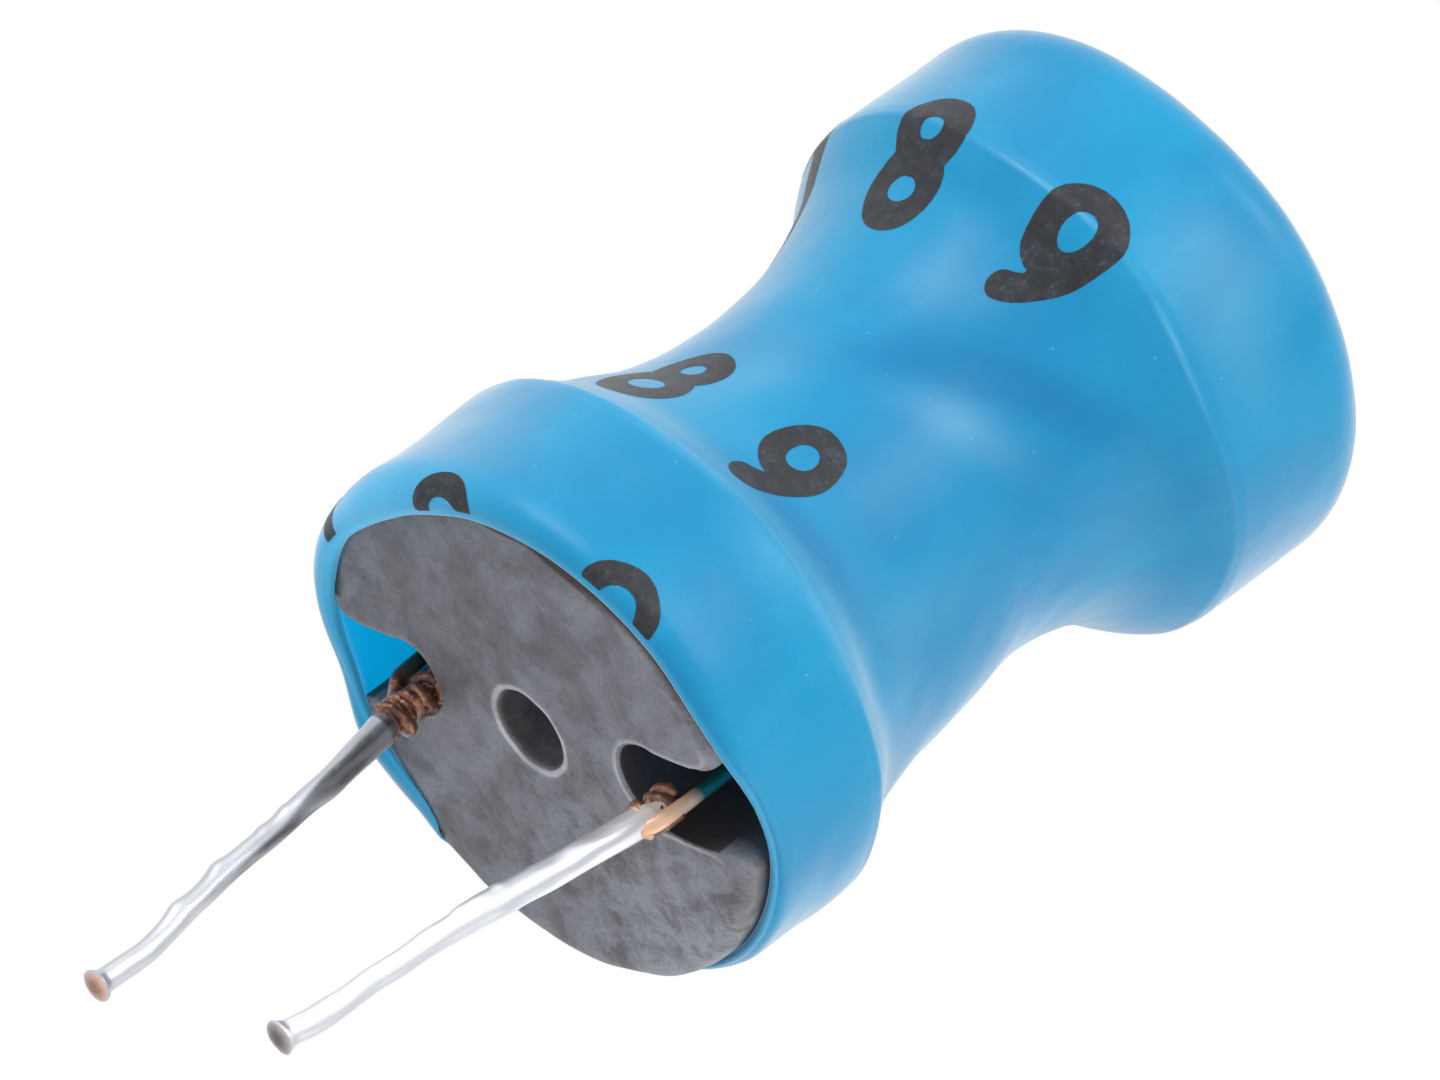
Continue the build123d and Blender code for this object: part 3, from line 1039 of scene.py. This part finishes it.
def make_winding(finish):
    shape = Shape()
    make_coil(shape)

    # lead A: the wire wrapped on itself, lumpy with flux, and the strand that goes up the notch
    wrap = wrap_path(lead_a_base, (0.02, 0, -0.80), (-0.02, 0.02, 0.30), 4.2, 0.19, 200, 51, 0.30)
    shape.tube(wrap, uneven_radius(61, wrap, 0.16) * 0.92, bare=0.2 * bell(wrap[:, 2] + 0.45, 0.22))
    wrap = wrap_path(lead_a_base, (-0.03, 0.02, -0.66), (0, -0.05, 0.2), 2.3, 0.20, 20, 53, 0.35)
    shape.tube(wrap, uneven_radius(62, wrap, 0.2) * 0.85)
    flux = smooth_path(lead_a_base, [(0, 0, -0.90), (0.01, 0, -0.5), (-0.02, 0.03, 0.0), (0, 0, 0.38)])
    shape.tube(flux, 0.262 + 0.035 * ripple(63, np.arange(len(flux)) * 17.0, 0.0, 9, 0.0), sides=24)
    strand = smooth_path(lead_a_base, [
        (-0.06, -0.04, -0.72), (-0.24, -0.14, -0.42), (-0.45, -0.2, -0.12), (-0.50, -0.2, 0.3),
        (-0.52, -0.18, 1.2), (-0.60, -0.09, 2.2), (-0.60, 0.36, 3.0),
    ])
    shape.tube(strand, wire_radius, shade=np.clip((strand[:, 2] + 0.35) * 1.6, 0, 0.85))

    # lead B: a bare strand in front goes straight up, and the wraps are behind it
    strand = smooth_path(lead_b_base, [
        (-0.02, 0.06, -1.12), (0.07, 0.07, -0.82), (0.22, 0.06, -0.5), (0.28, 0.05, 0.1),
        (0.28, 0.05, 1.2), (0.20, 0.1, 2.3), (0.05, 0.5, 3.0),
    ])
    shade = np.clip((strand[:, 2] - 0.16) * 4, 0, 1)
    thick = wire_radius * (0.95 + 0.20 * bell(strand[:, 2] + 0.50, 0.35))
    shape.tube(strand, thick, sides=20, bare=1.0, shade=shade)
    behind = smooth_path(lead_b_base, [(0.14, 0.15, -0.74), (0.28, 0.15, -0.5), (0.35, 0.13, -0.05)])
    shape.tube(behind, 0.075, sides=16, bare=0.05)
    stub = smooth_path(lead_b_base, [(0.10, 0.03, -0.78), (0.19, 0.14, -0.68), (0.23, 0.22, -0.62)])
    shape.tube(stub, wire_radius * np.linspace(1.0, 0.55, len(stub)), sides=20, bare=0.75)
    knot = smooth_path(lead_b_base, [(-0.06, -0.02, -0.66), (0, 0.03, -0.45), (0.12, 0.05, -0.22)])
    shape.tube(knot, np.linspace(0.21, 0.12, len(knot)), sides=20, bare=np.linspace(0.9, 0.0, len(knot)))
    wrap = wrap_path(lead_b_base, (-0.10, 0.10, -0.42), (-0.13, 0.13, 0.16), 2.3, 0.16, -150, 57, 0.22)
    shape.tube(wrap, uneven_radius(64, wrap, 0.14) * 0.95, bare=0.12)
    wrap = wrap_path(lead_b_base, (-0.1, 0.12, -0.5), (-0.1, 0.14, 0.2), 1.4, 0.09, 60, 59, 0.3)
    shape.tube(wrap, uneven_radius(65, wrap, 0.12))
    make_piece("copper_winding", shape, finish, "copper_wire", "winding")


# ---------------------------------------------------------------- leads

# How far the solder fills a bundle of strands, how tightly it follows them, and how thick it lies on them
solder_fill = 0.19
solder_follow = 60
solder_film = 0.006


def lead_section(strands, angle):
    """Radius of a soldered bundle of strands at each angle round its middle."""
    total = np.full(angle.shape, math.exp(solder_fill * solder_follow))
    for distance, at, radius in strands:
        turn = angle - at
        root = radius**2 - (distance * np.sin(turn)) ** 2
        reach = np.where(root > 0, distance * np.cos(turn) + np.sqrt(np.maximum(root, 0)), solder_fill)
        total = total + np.exp(np.maximum(reach, solder_fill) * solder_follow)
    return np.log(total / (len(strands) + 1)) / solder_follow + solder_film


def make_lead(
    name, node, finish, base, tip, top, strands, twist, girth, bow, ridges, seed, tones, ends, flare
):
    """A folded and twisted wire end, filled and covered with solder, cut off square.

    top is the height it starts at. Each strand has its distance from the middle, angle and radius;
    twist has their first angle and the length of one turn. girth scales the radius along the lead;
    bow has the azimuth that it leans to, and how far by the place along it. Each ridge of solder has
    its place along the lead, half-length, side and height. tones gives dullness with painted shade,
    painted shade and reflection streaks, and a painted highlight by place and side; ends has how
    bare and how grey the cut face is; flare is how much the cut end is spread.
    """
    shape = Shape()
    rows, sides = 260, 48
    t = np.linspace(0, 1, rows)
    axis = np.array([base[0] - tip[0], base[1] - tip[1], lead_reach - lead_drop])
    end = np.array([tip[0], tip[1], -lead_reach])
    start = end + axis * (lead_reach + top) / (lead_reach - lead_drop)
    length = np.linalg.norm(end - start)
    along = t * length
    line = start + (end - start) * t[:, None]
    line[:, 0] += 0.010 * ripple(seed, t * 360, 0.0, 5, 0)
    line[:, 1] += 0.010 * ripple(seed + 1, t * 360, 0.0, 5, 0)
    lean, leaning = math.radians(bow[0]), through(bow[1], along)
    line[:, :2] += leaning[:, None] * (math.cos(lean), math.sin(lean))
    angle = np.arange(sides) * TAU / sides
    degrees = np.degrees(angle)
    radius = np.zeros((rows, sides))
    for i in range(rows):
        turned = [(d, a + twist[0] + TAU * along[i] / twist[1], r) for d, a, r in strands]
        radius[i] = lead_section(turned, angle)
    # the grooves between strands get painted shade
    groove = np.clip((radius.max(axis=1)[:, None] - radius) / 0.07, 0, 1)
    radius *= through(girth, along)[:, None]
    radius *= 1 + 0.018 * ripple(seed + 2, degrees[None, :], along[:, None], 4, 1.5)
    for at, long, side, tall in ridges:
        facing = np.clip(np.cos(np.radians(degrees - side)), 0, 1) ** 3
        radius += tall * bell(along - at, long)[:, None] * facing
    radius *= np.clip(0.55 + 0.45 * along / 0.3, 0, 1)[:, None]
    radius *= 1 + flare * bell(length - along, 0.11)[:, None]
    points = np.repeat(line[:, None, :], sides, axis=1)
    points[..., 0] += radius * np.cos(angle)
    points[..., 1] += radius * np.sin(angle)
    cloud = 0.75 + 0.3 * ripple(seed + 4, degrees[None, :], along[:, None], 3, 0.8)
    # painted shade, reflection streaks and highlight by place and side
    dull, streaks, top_highlight = tones(along[:, None], angle[None, :])
    dull, streaks = np.clip(dull * cloud, 0, 1), np.clip(streaks + groove * 0.3, 0, 1)
    first = shape.grid(points, flip=True, dull=dull, groove=streaks, bare=top_highlight, grey=0.0)
    shape.add_face(range(first, first + sides))
    edge = points[-1]
    middle = edge.mean(axis=0)
    rings = []
    for share in (0.96, 0.86, 0.6, 0.3):
        rings.append(middle + (edge - middle) * share - (0, 0, 0.05 * (1 - share**2)))
    cut = np.array([0.1, 0.9, 1.0, 1.0])[:, None] * np.ones(sides)
    tip_first = shape.grid(np.array(rings), flip=True, bare=cut * ends[0], grey=cut * ends[1])
    last = first + (rows - 1) * sides
    for c in range(sides):
        across = (c + 1) % sides
        shape.add_face([last + c, tip_first + c, tip_first + across, last + across])
    shape.add_face(range(tip_first + 3 * sides, tip_first + 4 * sides), flip=True)
    make_piece(name, shape, finish, "solder", node, sharp=60)


def round_from_front(angle):
    """Degrees round a lead from the side that faces the front, on towards sway_azimuth."""
    return apart(np.degrees(angle), sway_azimuth - 90)


def tones_a(along, angle):
    """Painted shade, duller: grey and streaky at its start and on one side half-way down, then pale."""
    turn = round_from_front(angle)
    streaky = np.clip(1.5 * np.sin(6 * angle + 1.3 * along), -1, 1)
    start = through([(0, -48), (1.6, -42), (2.8, 4), (3.6, 16), (4.5, 48)], along)
    shaded = np.clip(0.5 + (turn - start) / 20, 0, 1) * np.clip((4.9 - along) / 0.7, 0, 1)
    shaded *= 0.85 + 0.30 * streaky * np.clip(2.2 - along, 0, 1)
    dull = np.where(np.abs(turn) < 135, shaded, 0.6 * np.clip(2 - along, 0, 1))
    return dull, 0.66 + 0.1 * bell(turn + 60, 16), 0.0


def tones_b(along, angle):
    """Bright, with a painted grey reflection streak down its middle and a thin one at the side;
    a painted highlight at its top.
    """
    turn = round_from_front(angle)
    across = np.clip(6 + 15 * (along - 0.25), 4, 54)
    wide = 13 + 4 * np.minimum(along, 4)
    band = np.clip(1.5 * bell(turn - across, wide), 0, 1) * (0.75 - 0.06 * np.minimum(along, 4))
    edge_streak = 0.55 * bell(turn + 68, 12) * np.clip((along - 2.6) / 0.6, 0, 1)
    return np.full(turn.shape, 0.03), band + edge_streak, 0.75 * bell(along, 0.6)


# ---------------------------------------------------------------- stage, lamps and camera

view_swing = math.radians(sway_azimuth)
view_drop = math.radians(29.76)
view_roll = math.radians(36.80)
across_way = Vector((math.cos(view_swing), math.sin(view_swing), 0))
near_way = Vector((math.sin(view_swing), -math.cos(view_swing), 0))
up_way = Vector((0, 0, 1))
camera_right = (
    math.sin(view_roll) * across_way
    + math.sin(view_drop) * math.cos(view_roll) * near_way
    + math.cos(view_drop) * math.cos(view_roll) * up_way
)
camera_up = (
    -math.cos(view_roll) * across_way
    + math.sin(view_drop) * math.sin(view_roll) * near_way
    + math.cos(view_drop) * math.sin(view_roll) * up_way
)
camera_back = camera_right.cross(camera_up)


def seen_from_camera(right, up, back):
    """A direction given as the camera sees it."""
    return (camera_right * right + camera_up * up + camera_back * back).normalized()


def make_camera():
    view_width = 22.137 * MM
    distance = 0.6
    aim = Vector((0, 0, 0.246 * MM)) + camera_right * (2.690 * MM) + camera_up * (2.895 * MM)
    camera = new_object("camera", bpy.data.cameras.new("camera"))
    turned = Matrix((camera_right, camera_up, camera_back)).transposed().to_4x4()
    camera.matrix_world = Matrix.Translation(aim + camera_back * distance) @ turned
    camera.data.sensor_width = 36
    camera.data.lens = 36 * distance / view_width
    camera.data.clip_end = 5
    bpy.context.scene.camera = camera


def make_lamp(name, way, distance, size, power, target=(0, 0, 0.005)):
    lamp = new_object(name, bpy.data.lights.new(name, "AREA"))
    lamp.data.shape = "RECTANGLE"
    lamp.data.size, lamp.data.size_y = size
    lamp.data.energy = power
    lamp.location = Vector(target) + way * distance
    lamp.rotation_euler = (way * -1).to_track_quat("-Z", "Y").to_euler()


def make_world(plain, shown):
    """Soft plain light, with a white background where a camera, a gloss or glass looks at it."""
    world = bpy.data.worlds.new("studio")
    bpy.context.scene.world = world
    f = Finish(world)
    looks = ("Is Camera Ray", "Is Glossy Ray", "Is Transmission Ray")
    seen, gloss, glass = [f.add("ShaderNodeLightPath", output=look) for look in looks]
    values = {"Value": seen.most(gloss).most(glass), "To Min": plain, "To Max": shown}
    level = f.add("ShaderNodeMapRange", None, values)
    light = f.add("ShaderNodeBackground", None, {"Color": (1, 1, 1, 1), "Strength": level})
    f.add("ShaderNodeOutputWorld", None, {"Surface": light})


def make_floor():
    shape = bpy.data.meshes.new("floor")
    half = 1.5
    low = cad_bounds[0][2] - 0.05 * MM
    corners = [(-half, -half, low), (half, -half, low), (half, half, low), (-half, half, low)]
    shape.from_pydata(corners, [], [(0, 1, 2, 3)])
    shape.materials.append(make_floor_finish())
    new_object("floor", shape)


# ---------------------------------------------------------------- the part

sleeve_finish = make_sleeve_finish()
solder_finish = make_solder_finish()
make_sleeve(sleeve_finish)
make_print(make_ink_finish())
make_core(make_ferrite_finish())
make_winding(make_copper_finish())
across_angle = math.radians(sway_azimuth)
opposite = sway_azimuth + 180
make_lead(
    "soldered_lead_a", "lead_a", solder_finish, lead_a_base, lead_a_tip, top=-0.78,
    strands=[(0.06, 0.0, 0.15), (0.06, math.pi, 0.15)], twist=(across_angle + 0.5, 12.0),
    girth=[
        (0, 1.55), (0.3, 1.38), (0.9, 1.22), (1.6, 1.10), (2.4, 1.03), (3.6, 0.96), (5.6, 0.93),
        (6.2, 0.95), (6.8, 1.0),
    ],
    bow=(36, [
        (0, 0.02), (1.4, 0.07), (2.5, 0.075), (3.4, 0.03), (4.1, 0.025), (4.8, 0.06), (5.6, 0.088),
        (6.2, 0.08), (6.7, 0.035), (7.15, -0.02),
    ]),
    ridges=[
        (4.15, 0.22, opposite, 0.055), (5.2, 0.22, opposite, 0.05), (2.6, 0.12, opposite, 0.022),
        (3.1, 0.12, opposite, 0.02), (1.7, 0.3, sway_azimuth, 0.02),
    ],
    seed=61, tones=tones_a, ends=(1.0, 0.0), flare=0.42,
)
make_lead(
    "soldered_lead_b", "lead_b", solder_finish, lead_b_base, lead_b_tip, top=-0.15,
    strands=[(0.11, 0.0, 0.128), (0.11, math.pi, 0.122), (0.06, 1.5 * math.pi, 0.13)],
    twist=(across_angle, 90.0),
    girth=[
        (0, 1.0), (0.5, 1.1), (1.1, 1.14), (3.2, 1.14), (4.5, 0.98), (6.3, 0.93), (6.8, 1.04), (7.5, 1.06),
    ],
    bow=(-118, [
        (0, 0.0), (1.7, 0.02), (2.9, 0.06), (4.0, 0.10), (5.2, 0.086), (5.9, 0.06), (6.5, 0.0),
        (7.1, -0.01), (7.75, 0.05),
    ]),
    ridges=[(3.6, 0.30, opposite, 0.035), (4.0, 0.14, opposite, 0.02), (3.2, 0.12, opposite, 0.02)],
    seed=71, tones=tones_b, ends=(0.2, 0.8), flare=0.32,
)

make_camera()
make_world(0.70, 1.0)
make_floor()
make_lamp("key", seen_from_camera(-0.29, 0.83, 0.48), 0.35, (0.15, 0.15), 0.46)
make_lamp("side", seen_from_camera(0.75, 0.55, 0.37), 0.35, (0.12, 0.12), 0.34)
make_lamp("fill", seen_from_camera(0.45, -0.8, 0.1), 0.45, (0.35, 0.35), 0.62)
bpy.context.scene.view_settings.view_transform = "Standard"
